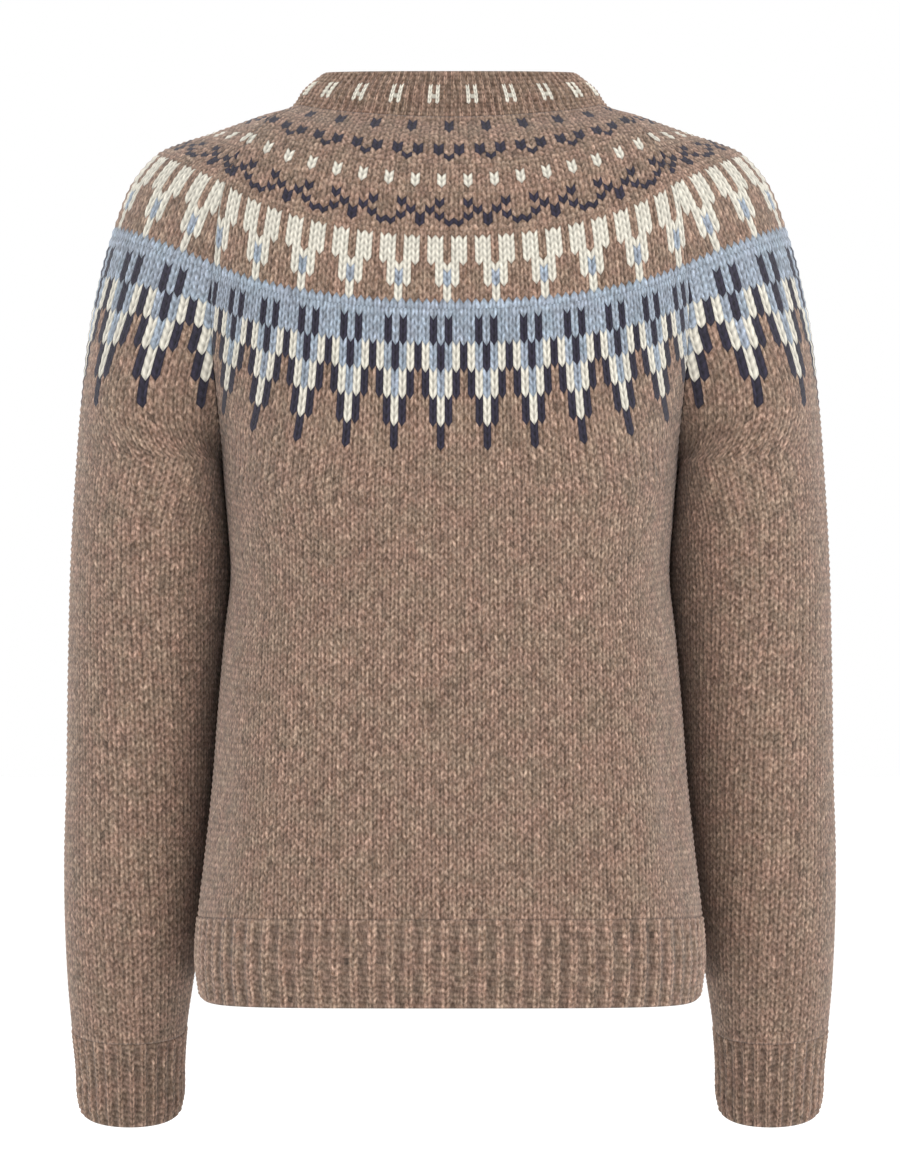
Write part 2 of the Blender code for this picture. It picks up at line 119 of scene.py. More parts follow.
def bend(start, start_turn, end, end_turn, full, side, fractions):
    """Points of one bend of a ring at fractions of its length, and the length.

    The turns at its start and end are in degrees. A full of 1 gives very nearly a round arc.
    """
    start, end = np.array(start), np.array(end)
    turns = np.radians([start_turn, end_turn])
    pull = full * np.linalg.norm(end - start) / math.cos((turns[1] - turns[0]) / 4) ** 2
    leave = pull * np.array((math.cos(turns[0]), -side * math.sin(turns[0])))
    arrive = pull * np.array((math.cos(turns[1]), -side * math.sin(turns[1])))
    t = np.linspace(0, 1, BEND_PARTS + 1)[:, None]
    path = (start * (1 + 2 * t) * (1 - t) ** 2 + leave * t * (1 - t) ** 2
            + end * t * t * (3 - 2 * t) + arrive * t * t * (t - 1))
    lengths = np.concatenate([[0], np.cumsum(np.linalg.norm(np.diff(path, axis=0), axis=1))])
    at = np.asarray(fractions) * lengths[-1]
    return np.stack([np.interp(at, lengths, path[:, axis]) for axis in (0, 1)], axis=1), lengths[-1]


def body_half(table, row, side, fractions):
    """Points from the centre (0) to the seam (1) of a body panel's +X half, and the length."""
    at = row_of(table, BACK_COLUMNS, row)
    edge = (at["edge_x"], at["edge_y"])
    flat, length = bend((0, at["mid_y"]), 0, edge, at["turn"], at["full"], side, fractions)
    level = np.interp(row, *LEVEL)
    z = at["mid_z"] + (at["edge_z"] - at["mid_z"]) * np.abs(fractions) ** level
    return np.column_stack([flat, z]), length


def back_ring(row):
    """Across the back, from its right seam (-1) over the middle (0) to its left seam (1)."""
    places = np.linspace(-1, 1, RING_PARTS + 1)
    points, length = body_half(BACK, row, 1, np.abs(places))
    points[:, 0] *= np.sign(places)
    return points, length


def outward(points):
    """Unit directions out of a net of points whose rows run down and whose columns run with the ring."""
    down = np.gradient(points, axis=0, edge_order=2)
    across = np.gradient(points, axis=1, edge_order=2)
    normal = np.cross(across, down)
    return normal / np.linalg.norm(normal, axis=2, keepdims=True)


def cloth(ring, row_from, row_to, place_from=-1.0, place_to=1.0, folds="", closed_from=None):
    """A smooth surface to knit on: rings of points, their directions out, and each ring's length.

    folds names the piece whose folds are laid in. From the row closed_from down, a ring ends where it
    starts.
    """
    rows = np.arange(row_from, row_to + RING_STEP / 2, RING_STEP)
    rings = [ring(row) for row in rows]
    points = np.array([points for points, length in rings])
    places = np.linspace(place_from, place_to, points.shape[1])
    depth = np.zeros(points.shape[:2])
    for name, place, start, end, width, size in FOLDS:
        if name == folds:
            along = np.clip((rows - start) / (end - start), 0, 1)
            across = np.exp(-((places - place) / width) ** 2)
            depth += size * np.sin(along * math.pi)[:, None] ** 2 * across
    points = points + outward(points) * depth[:, :, None]
    out = outward(points)
    if closed_from is not None:
        shut = rows >= closed_from
        mean = out[shut, 0] + out[shut, -1]
        out[shut, 0] = out[shut, -1] = mean / np.linalg.norm(mean, axis=1, keepdims=True)
    return {"rows": rows, "places": places, "points": points, "out": out,
            "lengths": np.array([length for points, length in rings])}


def on_cloth(surface, rows, places):
    """Points and directions of a surface at any rows and places across it."""
    i = (rows - surface["rows"][0]) / RING_STEP
    j = (places - surface["places"][0]) / (surface["places"][1] - surface["places"][0])
    i = np.clip(i, 0, len(surface["rows"]) - 1)
    j = np.clip(j, 0, len(surface["places"]) - 1)
    row = np.minimum(i.astype(int), len(surface["rows"]) - 2)
    column = np.minimum(j.astype(int), len(surface["places"]) - 2)
    s, t = (i - row)[..., None], (j - column)[..., None]
    found = []
    for grid in (surface["points"], surface["out"]):
        found.append((grid[row, column] * (1 - s) + grid[row + 1, column] * s) * (1 - t)
                     + (grid[row, column + 1] * (1 - s) + grid[row + 1, column + 1] * s) * t)
    return found[0], found[1] / np.linalg.norm(found[1], axis=-1, keepdims=True)


# Charts, a string for each knitted row: b brown, n navy, c cream, l light blue. A string is one repeat,
# and starts at the middle stitch of its motif. A chart's last string goes on to the end of its section.
DOTS = ("bbbb", "nbbb", "nbbb", "bbbb", "bbbb", "bbbb", "bnbn", "bnbn", "nbbb", "bbbb")
FLECKS = ("bbb", "bbb", "cbb", "cbb", "bbb")
GARLAND = ("bbbbbbb", "bbnbbnb", "bnbbbbn", "nbnbbnb", "nbbnnbb", "bbbbbbb")
ICICLES = ("bbbbbb",) + ("bccbcc",) * 4 + ("ccbbbc",) + ("lcbbbc",) * 2 + ("cbbbbb",) * 2 + ("llllll",)
BLOSSOMS = (("llllll",) + ("lnllln",) * 3 + ("nlcncl",) * 3 + ("lcnbnc",) * 3 + ("cnbbbn",) * 3
            + ("nbbbbb",) * 3 + ("bbbbbb",))
YARNS = "bncl"
# Base colours of the yarns as linear values, and how strongly each is heathered
YARN_COLOURS = np.array(((0.328, 0.217, 0.160), (0.028, 0.024, 0.044),
                         (0.80, 0.755, 0.65), (0.36, 0.415, 0.495)))
YARN_HEATHER = np.array((1.0, 0.35, 0.12, 0.55))
# The pale yarn keeps less of the painted shade of its stitches
CREAM_LIFT = 0.08           # the share of its own shadows that the pale yarn hides
LEG_TONE = 0.15             # how much one leg of a stitch may differ from the next
PLAIN_TONE = 0.3            # the share of that which shows on a yarn with no heather
STRIPS = 4                  # strips across one column of stitches
SLANT = 0.66                # how far the V of a stitch reaches down, in rows
# The painted shade darkens the hollows between rows and the middle and edges of a stitch, and lights its
# raised legs
# Height and painted shade of a stitch at its edge, at its legs and at its middle, between rows and on the
# row
HEIGHT_BETWEEN = (-0.72, -0.28, -0.95)
HEIGHT_ON_ROW = (-0.32, 0.42, -0.45)
SHADE_BETWEEN = (0.40, 0.84, 0.28)
SHADE_ON_ROW = (0.80, 1.22, 0.68)
# Height and painted shade of a purl stitch, and how much lighter the crest of a rib is painted
PURL_BETWEEN = (-0.5, 0.52)
PURL_ON_ROW = (-0.1, 0.80)
CREST_SHADE = 0.20
# The shades of these two are painted shade as well
BORDER = (-0.35, 1.15)      # height and change of shade where one section of stitches meets the next
SEAM_EDGE = (-0.35, 0.62)   # height and shade along a seam
INNER_ROWS = 3              # knitted rows to one step of the plain inner wall
INNER_STEPS = 48            # steps across the inner wall
# Painted shade of the plain inner wall
INNER_SHADE = 0.6
# Marks by which borders find each other: the inner wall's first and last row, and the sides of both walls
INNER_LINES = (1001, 1002)
OUTER_SIDES = (1, 2)
INNER_SIDES = (3, 4)
SIDE_MERGE = 0.000001       # metres within which points on a side are one
PIECE_MERGE = 0.00001       # and points of a finished piece
ROW_ROUNDING = 0.1          # rows within which a row counts as the one where a tube closes


def mark(shape):
    """Layers that remember a vertex's border line, side and painted shade, and a face's yarn and tone."""
    ints, floats = shape.verts.layers.int, shape.verts.layers.float
    return (ints.new("line"), ints.new("side"), floats.new("shade"),
            shape.faces.layers.int.new("yarn"), shape.faces.layers.float.new("tone"))


def net(shape, points, lines, cuts, open_rows, shade, yarn=None, tone=None):
    """Adds a grid on points to a piece, and marks its first and last rows with lines.

    cuts are pairs of a side's number and a table that is true where a point lies on that side.
    """
    part = bmesh.new()
    line, side, dark, colour, leg = mark(part)
    row_count, column_count = points.shape[:2]
    made = bmesh.ops.create_grid(part, x_segments=column_count - 1, y_segments=row_count - 1,
                                 size=1)["verts"]
    flat, shades = points.reshape(-1, 3) * MM, shade.ravel()
    for index, vertex in enumerate(made):
        vertex.co = flat[index]
        vertex[dark] = shades[index]
    for index in range(column_count):
        made[index][line] = lines[0]
        made[-1 - index][line] = lines[1]
    if yarn is not None:
        for face, number, value in zip(part.faces, yarn.ravel().tolist(), tone.ravel().tolist()):
            face[colour] = number
            face[leg] = value
    table = np.array(made, dtype=object).reshape(row_count, column_count)
    for value, cut in cuts:
        for vertex in table[open_rows][cut[open_rows]]:
            vertex[side] = value
    for value, cut in cuts:
        bmesh.ops.remove_doubles(part, verts=list(table[cut]), dist=SIDE_MERGE)
    mesh = bpy.data.meshes.new("part")
    part.to_mesh(mesh)
    part.free()
    shape.from_mesh(mesh)
    bpy.data.meshes.remove(mesh)


def border_lines(number):
    """Marks of the first and the last row of a section."""
    return 10 * number + 1, 10 * number + 2


def bridge(shape, layer, one, other):
    """Closes the gap between two borders that a layer marks."""
    edges = [edge for edge in shape.edges if edge.is_boundary
             and edge.verts[0][layer] == edge.verts[1][layer] and edge.verts[0][layer] in (one, other)]
    bmesh.ops.bridge_loops(shape, edges=edges)


def knit(name, surface, sections, low, high, closed_from=None, seed=1, rib=None):
    """One knitted piece as a closed wall: stitches outside, plain inside.

    A section is (first row, last row, stitches in a half at rows, width of a middle stitch at rows,
    phase, chart). The phase shifts its stitches across. With no widths the stitches of a row are even.
    low and high give the places of the piece's two edges at rows. The stitches stand in columns that
    the edges cut off, as a seam does. From the row closed_from down the edges meet, as on a tube.
    seed draws the tones of the legs. rib is how far knit columns stand up and purl columns lie back.
    """
    chance = np.random.default_rng(seed)
    row_from, row_to = sections[0][0], sections[-1][1]
    open_to = row_to if closed_from is None else closed_from
    shape = bmesh.new()
    line, side = mark(shape)[:2]
    for number, (start, end, halves, widths, phase, chart) in enumerate(sections):
        count = int(round(end - start))
        rows = np.linspace(start, end, 2 * count + 1)
        half = np.interp(rows, *zip(*halves))
        length = np.interp(rows, surface["rows"], surface["lengths"])
        slope = np.interp(rows, *zip(*widths)) * half / length if widths else np.ones_like(rows)
        first = math.floor(max(half) * min(low(rows)) - phase) - 1
        last = math.ceil(max(half) * max(high(rows)) - phase) + 1
        columns = np.arange(STRIPS * first, STRIPS * last + 1)
        across = (columns / STRIPS + phase - 0.5)[None, :] / half[:, None]
        near = np.clip(across, -1, 1)
        places = near * (slope[:, None] + (1 - slope[:, None]) * near ** 2)
        edges = np.array((low(rows), high(rows)))
        inside = ((across > -1) & (across < 1)
                  & (places > edges[0][:, None]) & (places < edges[1][:, None]))
        places = np.clip(places, edges[0][:, None], edges[1][:, None])
        part = columns % STRIPS                # 0 edge, 1 and 3 legs, 2 middle of a stitch
        kind = np.array((0, 1, 2, 1))[part]
        on_row = (np.arange(len(rows)) % 2)[:, None] == 1
        fade = np.clip(np.minimum(rows - start, end - rows), 0, 1)[:, None]
        drop = SLANT * (np.abs(part - 2) / 2 - 0.5)[None, :] * fade * inside
        # The shade is painted into the colour: darker where the cloth lies low between rows and stitches,
        # lighter on the raised legs and on the crests of ribs
        height = np.where(on_row, np.array(HEIGHT_ON_ROW)[kind], np.array(HEIGHT_BETWEEN)[kind])
        shade = np.where(on_row, np.array(SHADE_ON_ROW)[kind], np.array(SHADE_BETWEEN)[kind])
        if rib is not None:
            purl = (columns // STRIPS) % 2 == 1
            swell = np.sin((columns % (2 * STRIPS)) * math.pi / STRIPS)
            drop = np.where(purl, 0, drop)
            height = np.where(purl, np.where(on_row, PURL_ON_ROW[0], PURL_BETWEEN[0]), height)
            height = height + rib * swell
            shade = np.where(purl, np.where(on_row, PURL_ON_ROW[1], PURL_BETWEEN[1]), shade)
            shade = shade * (1 + CREST_SHADE * swell)
        # Painted shade at the borders of a section and along the seams
        for border in (0, -1):
            height[border] = BORDER[0]
            shade[border] = shade[border] * BORDER[1]
        height = np.where(inside, height, SEAM_EDGE[0])
        shade = np.where(inside, shade, SEAM_EDGE[1])
        points, out = on_cloth(surface, rows[:, None] - drop, places)
        numbers = np.arange(first, last) % len(chart[0])
        stitch = np.array([[YARNS.index(chart[min(row, len(chart) - 1)][column]) for column in numbers]
                           for row in range(count)])
        yarn = np.repeat(np.repeat(stitch, STRIPS, axis=1), 2, axis=0)
        tone = chance.normal(0, LEG_TONE, (count, 2 * stitch.shape[1]))
        tone = np.repeat(np.repeat(tone, STRIPS // 2, axis=1), 2, axis=0)
        net(shape, points + out * height[:, :, None], border_lines(number),
            [(value, places == edge[:, None]) for value, edge in zip(OUTER_SIDES, edges)],
            rows <= open_to + ROW_ROUNDING, shade, yarn, tone)
    stops = [row_from] + ([closed_from] if closed_from and closed_from > row_from else []) + [row_to]
    rows = [np.linspace(start, end, max(2, round((end - start) / INNER_ROWS)) + 1)
            for start, end in zip(stops, stops[1:])]
    rows = np.concatenate([rows[0]] + [more[1:] for more in rows[1:]])
    share = np.linspace(0, 1, INNER_STEPS + 1)[None, :]
    places = low(rows)[:, None] * (1 - share) + high(rows)[:, None] * share
    points, out = on_cloth(surface, np.repeat(rows[:, None], INNER_STEPS + 1, axis=1), places)
    net(shape, points - out * WALL, INNER_LINES,
        [(value, places == edge(rows)[:, None]) for value, edge in zip(INNER_SIDES, (low, high))],
        rows <= open_to + ROW_ROUNDING, np.full(places.shape, INNER_SHADE))
    for number in range(1, len(sections)):
        bridge(shape, line, border_lines(number - 1)[1], border_lines(number)[0])
    bridge(shape, line, border_lines(0)[0], INNER_LINES[0])
    bridge(shape, line, border_lines(len(sections) - 1)[1], INNER_LINES[1])
    for one, other in zip(OUTER_SIDES, INNER_SIDES):
        bridge(shape, side, one, other)
    bmesh.ops.remove_doubles(shape, verts=shape.verts[:], dist=PIECE_MERGE)
    bmesh.ops.recalc_face_normals(shape, faces=shape.faces[:])
    mesh = bpy.data.meshes.new(name)
    shape.to_mesh(mesh)
    shape.free()
    tint(mesh)
    mesh.shade_smooth()
    return mesh


def tint(mesh):
    """Turns yarns, tones and shades into the colour and the heather that the wool reads, with the shade
    painted into the colour.
    """
    yarn = np.zeros(len(mesh.polygons), int)
    mesh.attributes["yarn"].data.foreach_get("value", yarn)
    tone = np.zeros(len(mesh.polygons))
    mesh.attributes["tone"].data.foreach_get("value", tone)
    shade = np.zeros(len(mesh.vertices))
    mesh.attributes["shade"].data.foreach_get("value", shade)
    sizes = np.zeros(len(mesh.polygons), int)
    mesh.polygons.foreach_get("loop_total", sizes)
    corner = np.zeros(len(mesh.loops), int)
    mesh.loops.foreach_get("vertex_index", corner)
    yarn, tone = np.repeat(yarn, sizes), np.repeat(tone, sizes)
    for layer in ("line", "side", "shade", "yarn", "tone"):
        mesh.attributes.remove(mesh.attributes[layer])
    # Here the painted shade of each corner is multiplied into the yarn's colour
    value = shade[corner] * (1 + tone * (PLAIN_TONE + (1 - PLAIN_TONE) * YARN_HEATHER[yarn]))
    value = value + (1 - value) * np.where(yarn == YARNS.index("c"), CREAM_LIFT, 0.0)
    colour = np.ones((len(corner), 4))
    colour[:, :3] = YARN_COLOURS[yarn] * value[:, None]
    mesh.attributes.new("shaded_dye", "FLOAT_COLOR", "CORNER").data.foreach_set("color", colour.ravel())
    mesh.attributes.new("heather", "FLOAT", "CORNER").data.foreach_set("value", YARN_HEATHER[yarn])


PATCH_SCALE = 70            # cells of a noise in a metre
FIBRE_SCALE = 620
HAIR_SCALE = 1500
PATCH_COLOURS = ((0.36, (0.965, 1.012, 0.99)), (0.64, (1.035, 0.99, 0.997)))
FIBRE_COLOURS = ((0.30, (0.48, 0.42, 0.37)), (0.52, (1.0, 1.0, 1.0)), (0.72, (1.68, 1.76, 1.82)))


def heather_group():
    """Fibres of mixed colour in a spun yarn: mottled patches, light and dark fibres, and fine hairs."""
    group = bpy.data.node_groups.new("heathered_yarn", "ShaderNodeTree")
    # The colour that comes in already holds the painted shade of the stitches
    for name, way, kind in (("Shaded_dye", "INPUT", "NodeSocketColor"), ("Heather", "INPUT", "NodeSocketFloat"),
                            ("Colour", "OUTPUT", "NodeSocketColor"), ("Hairs", "OUTPUT", "NodeSocketFloat")):
        group.interface.new_socket(name, in_out=way, socket_type=kind)
    nodes, links = group.nodes, group.links
    given = nodes.new("NodeGroupInput")
    result = nodes.new("NodeGroupOutput")
    where = nodes.new("ShaderNodeTexCoord")

    def noise(scale, detail, stretch=(1, 1, 1)):
        mapping = nodes.new("ShaderNodeMapping")
        mapping.inputs["Scale"].default_value = stretch
        links.new(where.outputs["Object"], mapping.inputs["Vector"])
        made = nodes.new("ShaderNodeTexNoise")
        made.inputs["Scale"].default_value = scale
        made.inputs["Detail"].default_value = detail
        links.new(mapping.outputs["Vector"], made.inputs["Vector"])
        return made.outputs["Fac"]

    def ramp(source, stops):
        made = nodes.new("ShaderNodeValToRGB")
        for index, (place, colour) in enumerate(stops):
            stop = made.color_ramp.elements[index] if index < 2 else made.color_ramp.elements.new(place)
            stop.position, stop.color = place, (*colour, 1)
        links.new(source, made.inputs["Fac"])
        return made.outputs["Color"]

    def times(one, other):
        made = nodes.new("ShaderNodeMix")
        made.data_type, made.blend_type = "RGBA", "MULTIPLY"
        made.inputs["Factor"].default_value = 1
        links.new(one, made.inputs["A"])
        links.new(other, made.inputs["B"])
        return made.outputs["Result"]

    patches = ramp(noise(PATCH_SCALE, 4), PATCH_COLOURS)
    fibres = ramp(noise(FIBRE_SCALE, 3, (1, 1, 0.55)), FIBRE_COLOURS)
    mixed = times(times(given.outputs["Shaded_dye"], patches), fibres)
    blend = nodes.new("ShaderNodeMix")
    blend.data_type = "RGBA"
    links.new(given.outputs["Heather"], blend.inputs["Factor"])
    links.new(given.outputs["Shaded_dye"], blend.inputs["A"])
    links.new(mixed, blend.inputs["B"])
    links.new(blend.outputs["Result"], result.inputs["Colour"])
    links.new(noise(HAIR_SCALE, 4, (1, 1, 0.4)), result.inputs["Hairs"])
    return group


HEATHERED = heather_group()


def finish(name, values):
    """A material and its shader, with the values of the shader's inputs."""
    made = bpy.data.materials.new(name)
    made.use_nodes = True
    shader = made.node_tree.nodes["Principled BSDF"]
    for socket, value in values.items():
        shader.inputs[socket].default_value = value
    return made, shader


def wool(name):
    """Matt wool that takes its colour from the stitches, with the stitches' shade painted into it."""
    made, shader = finish(name, {"Roughness": 0.92, "Specular IOR Level": 0.25,
                                 "Sheen Weight": 0.18, "Sheen Roughness": 0.6})
    nodes, links = made.node_tree.nodes, made.node_tree.links
    shaded_dye = nodes.new("ShaderNodeAttribute")
    shaded_dye.attribute_name = "shaded_dye"
    heather = nodes.new("ShaderNodeAttribute")
    heather.attribute_name = "heather"
    yarn = nodes.new("ShaderNodeGroup")
    yarn.node_tree = HEATHERED
    bump = nodes.new("ShaderNodeBump")
    bump.inputs["Strength"].default_value = 0.55
    bump.inputs["Distance"].default_value = 0.0009
    links.new(shaded_dye.outputs["Color"], yarn.inputs["Shaded_dye"])
    links.new(heather.outputs["Fac"], yarn.inputs["Heather"])
    links.new(yarn.outputs["Colour"], shader.inputs["Base Color"])
    links.new(yarn.outputs["Hairs"], bump.inputs["Height"])
    links.new(bump.outputs["Normal"], shader.inputs["Normal"])
    return made


STOCKING = wool("stocking_stitch")


def seat(name, mesh, material, slot, *nodes):
    """A finished piece in the place of its solids."""
    piece = bpy.data.objects.new(name, mesh)
    mesh.materials.append(material)
    bpy.context.scene.collection.objects.link(piece)
    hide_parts(*nodes)
    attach(piece, "root")
    return piece


def flat_edge(surface, side):
    """The place of a seam's edge, half a gap short of the ring's end."""
    return lambda rows: side * (1 - SEAM_GAP / 2 / np.interp(rows, surface["rows"], surface["lengths"]))


YOKE_ROWS = (0, 10, 15, 21, 32)      # where the yoke's charts begin
YOKE_CHARTS = (DOTS, FLECKS, GARLAND, ICICLES, BLOSSOMS)
YOKE_PHASES = (0.1, 0.95, 3.1, 0.35, 1.2)
YOKE_GAP = 0.01             # rows left between two charts
# Stitches in half the back, at the first and last row of each upper chart, and then at rows further down
BACK_YOKE = ((19.8, 19.8), (25.2, 25.2), (24.4, 24.4), (31, 31))
BACK_BELOW = ((31, 38), (40, 36), (48, 33), (55, 36), (64, 40), (76, 42.5), (124, 42.5))
# Width of the middle stitch of a front or back at rows
BODY_WIDTHS = ((31, 4.9), (48, 5.1), (55, 5.25), (76, 5.45), (124, 5.5))


def panel_sections(yoke, below, widths, end, phases=YOKE_PHASES):
    """A section for each chart of the yoke, the last of which goes on as plain wool to the panel's end."""
    starts = (TOUCH, *(row + YOKE_GAP for row in YOKE_ROWS[1:]))
    ends = (*YOKE_ROWS[1:], end - TOUCH)
    halves = [((first, counts[0]), (last, counts[1]))
              for first, last, counts in zip(YOKE_ROWS, YOKE_ROWS[1:], yoke)]
    return list(zip(starts, ends, (*halves, below), (*((),) * len(yoke), widths), phases, YOKE_CHARTS))


back_cloth = cloth(back_ring, 0, HEM, folds="back")
back_mesh = knit("knit_back", back_cloth,
                 panel_sections(BACK_YOKE, BACK_BELOW, BODY_WIDTHS, HEM_RIB),
                 flat_edge(back_cloth, -1), flat_edge(back_cloth, 1), seed=1)
back = seat("knit_back", back_mesh, STOCKING, "heather_wool", "back")

# -------------------------------------------------------------------------- Fronts
# Two half fronts of the same wool and the same bands of colour work. Each runs from its front band to
# the raglan seam and the side seam. The right one is the left one turned over.

BAND_SEAM = 17.0            # from the centre front to the seam of a front band
PAST_CENTRE = 0.2           # how far the front's cloth goes on past the centre front
FRONT_YOKE = ((19.4, 19.4), (24.2, 24.2), (23.2, 23.2), (29, 29))
FRONT_BELOW = ((31, 35.5), (40, 34), (48, 31.5), (55, 34), (64, 37.5), (76, 40), (124, 40.5))
# Half a ring of the front, with the back's columns
FRONT = (
    (-8, -71, -12, 79, -34, 14, 66, 1.0),
    (-4, -78.5, -25, 90.5, -36, 3, 67, 1.0),
    (0, -84, -38, 98, -36, -8, 68, 1.0),
    (5, -96, -55, 110, -50, -15, 63, 1.0),
    (10, -105, -73, 120, -62, -25, 58, 1.0),
    (14, -111, -89, 128, -70, -34, 54, 1.0),
    (18, -115, -106, 135, -77, -47, 50, 1.0),
    (22, -119, -124, 141, -83, -62, 48, 1.0),
    (31, -125, -165, 149, -92, -112, 49, 1.0),
    (40, -128, -207, 151, -86, -158, 58, 1.0),
    (48, -128, -246, 150, -66, -200, 74, 1.08),
    (52, -127, -259, 150, -42, -223, 84, 1.15),
    (55, -126, -270, 150, -18, -238, 90, 1.2),
    (63, -125, -299, 146.8, -14, -272, 90, 1.2),
    (71, -122, -328, 144.6, -10, -306, 90, 1.2),
    (80, -120, -362, 148.5, -8, -345, 90, 1.2),
    (92, -119, -408, 153, -6, -396, 90, 1.2),
    (104, -119, -454, 157, -5, -448, 90, 1.2),
    (114, -119, -493, 161.5, -5, -490, 90, 1.2),
    (124, -120, -531, 166.5, -5, -533, 90, 1.2),
    (132, -120, -560, 168, -5, -560, 90, 1.2),
    (139, -118, -583, 165.5, -5, -580, 90, 1.2),
)


def front_ring(row):
    """The left front, from its seam (-1) to the centre front (0) and a little past it."""
    places = np.linspace(-1, PAST_CENTRE, RING_PARTS + 1)
    points, length = body_half(FRONT, row, -1, np.abs(places))
    points[:, 0] *= -np.sign(places)
    return points, length


def turned_over(mesh, name):
    """The mirror image of a finished piece."""
    other = mesh.copy()
    other.name = name
    other.transform(Matrix.Scale(-1, 4, (1, 0, 0)))
    other.flip_normals()
    return other


front_cloth = cloth(front_ring, 0, HEM, -1, PAST_CENTRE, folds="front")


def band_seam(rows):
    """The place of a front band's seam."""
    return -(BAND_SEAM + SEAM_GAP) / np.interp(rows, front_cloth["rows"], front_cloth["lengths"])


left_mesh = knit("knit_front_left", front_cloth,
                 panel_sections(FRONT_YOKE, FRONT_BELOW, BODY_WIDTHS, HEM_RIB),
                 flat_edge(front_cloth, -1), band_seam, seed=2)
for side, mesh in (("left", left_mesh), ("right", turned_over(left_mesh, "knit_front_right"))):
    front = seat("knit_front_" + side, mesh, STOCKING, "heather_wool", "front_" + side)

# ------------------------------------------------------------------------- Sleeves
# Each sleeve is one panel. Above the underarm it lies between the two raglan seams and reaches up to the
# neck, and below it is closed to a tube. It carries the same rows of colour work.

CUFF_RIB = 147              # the row where the cuff rib begins
CUFF = 162
SLEEVE_CLEARANCE = 0.8      # by which the tube stays off its inner line
CUFF_DEPTH = 34.0           # from a cuff's outer line to its back or front
TILT_POWER = 0.7
SLEEVE_YOKE = ((4.4, 7.6), (10.4, 12.4), (12.2, 14.6), (17, 20.2))
SLEEVE_BELOW = ((31, 18.9), (40, 20.2), (48, 22.5), (55, 25), (66, 28.5), (76, 29), (147, 21.5))
SLEEVE_PHASES = (0.1, 0.95, 3.1, 2.4, 3.3)
# The sleeve at its measured rows: its outer line, its inner line from the underarm down (zeros above it),
# the way a ring leaves the seam or the inner line in degrees, how full its bends are, and its tilt
SLEEVE_COLUMNS = ("row", "out_x", "out_y", "out_z", "in_x", "in_y", "in_z", "turn", "full", "tilt")
SLEEVE = (
    (-8, 84, -14, 22, 0, 0, 0, 66, 1.0, 0),
    (-4, 96, -13, 12.5, 0, 0, 0, 67, 1.0, 0),
    (0, 104, -12, 1.5, 0, 0, 0, 68, 1.0, 0),
    (5, 125, -13, -5.2, 0, 0, 0, 63, 1.0, 0),
    (10, 146, -14, -12.5, 0, 0, 0, 58, 1.0, 0),
    (14, 162, -15, -18, 0, 0, 0, 53, 1.0, 0),
    (18, 178, -17, -23, 0, 0, 0, 49, 1.0, 0),
    (22, 194, -19, -30.5, 0, 0, 0, 46, 1.0, 0),
    (26, 209.5, -22, -48, 0, 0, 0, 44, 1.0, 0),
    (31, 222, -26, -78, 0, 0, 0, 38, 1.0, 0),
    (40, 237.5, -32, -138, 0, 0, 0, 10, 1.08, 0),
    (48, 244.5, -36, -196, 0, 0, 0, -36, 1.4, 0),
    (52, 246, -37, -213, 0, 0, 0, -66, 1.42, 0),
    (55, 247, -38, -226, 149.4, -18, -238, -90, 1.42, 0),
    (62, 249, -40, -255, 146.4, -27, -266, -90, 1.36, 0),
    (70, 251, -42, -289, 143.6, -36, -298, -90, 1.28, 0),
    (90, 253.5, -50, -374, 149, -49, -379, -90, 1.2, 0),
    (105, 254.5, -56, -437, 154, -55, -440, -90, 1.16, 0.03),
    (119, 256.2, -63, -495, 160, -62, -495, -90, 1.13, 0.1),
    (132, 255.6, -72, -547, 165, -71, -547, -90, 1.12, 0.2),
    (140, 254, -79, -580, 170.5, -79, -580, -90, 1.1, 0.27),
    (147, 251.7, -87, -607, 174.5, -87, -607, -90, 1.08, 0.33),
    (155, 249, -94, -634, 176.5, -94, -634, -90, 1.07, 0.4),
    (160, 248, -98, -653, 177, -98, -653, -90, 1.06, 0.45),
    (162, 246.5, -99, -660, 178.5, -99, -660, -90, 1.04, 0.45),
)


def sleeve_half(table, row, side, fractions):
    """Points from the seam (0) to the outer line (1) of the left sleeve's back or front half."""
    at = row_of(SLEEVE, SLEEVE_COLUMNS, row)
    if row < UNDERARM:
        seam = row_of(table, BACK_COLUMNS, row)
        start = (seam["edge_x"] + SEAM_GAP / 2, seam["edge_y"])
        start_z = seam["edge_z"]
    else:
        start = (at["in_x"] + SLEEVE_CLEARANCE, at["in_y"])
        start_z = at["in_z"]
    flat, length = bend(start, at["turn"], (at["out_x"], at["out_y"]), 90, at["full"], side, fractions)
    rise = np.sin(np.asarray(fractions) * math.pi / 2)
    depth = (flat[:, 1] - at["out_y"]) / CUFF_DEPTH
    tilt = at["tilt"] * CUFF_DEPTH * np.sign(depth) * np.abs(depth) ** TILT_POWER
    z = start_z + (at["out_z"] - start_z) * rise - tilt
    return np.column_stack([flat, z]), length


def sleeve_ring(row):
    """Round the left sleeve, from its back seam (-1) over the outer line (0) to its front seam (1)."""
    fractions = np.linspace(0, 1, RING_PARTS // 2 + 1)
    behind, length = sleeve_half(BACK, row, 1, fractions)
    before = sleeve_half(FRONT, row, -1, fractions)[0]
    return np.concatenate([behind, before[::-1][1:]]), length


sleeve_cloth = cloth(sleeve_ring, 0, CUFF, closed_from=UNDERARM)


def end_at(side):
    """The place of an edge at the ring's own end."""
    return lambda rows: np.full(len(rows), float(side))


